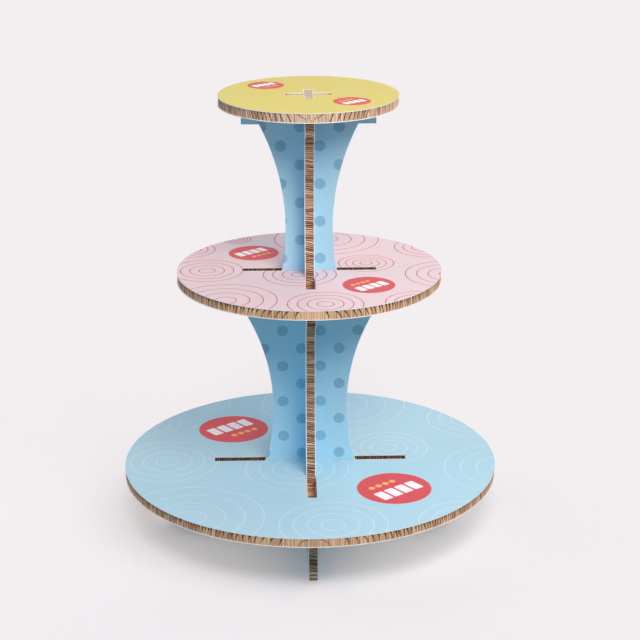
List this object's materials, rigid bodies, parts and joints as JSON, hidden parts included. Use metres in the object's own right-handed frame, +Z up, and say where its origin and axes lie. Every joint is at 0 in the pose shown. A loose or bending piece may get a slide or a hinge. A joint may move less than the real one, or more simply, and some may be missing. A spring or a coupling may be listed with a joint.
{
  "type": "tiered display stand",
  "caption": "Free-standing tiered display stand: round printed board trays that drop over waisted, crosswise interlocking board panels.",
  "frame": {"origin": "on the floor, under the line where the two panels cross", "axes": "+Z up along the crossing line, +X along the facing panel to the right, +Y away from the viewer"},
  "size_m": [0.3999, 0.4, 0.473],
  "materials": {
    "panel_print": "matt light blue print with round dots on white-lined board, kraft core at the cut edges",
    "base_print": "matt light blue print with pale rings on white-lined board, kraft core at the cut edges",
    "middle_print": "matt pink print with red rings on white-lined board, kraft core at the cut edges",
    "top_print": "matt yellow print with pale rings on white-lined board, kraft core at the cut edges"
  },
  "bodies": {
    "root": {"facing_panel": "panel_print", "crossing_panel": "panel_print", "base_tray": "base_print", "middle_tray": "middle_print", "top_tray": "top_print"}
  },
  "joints": []
}
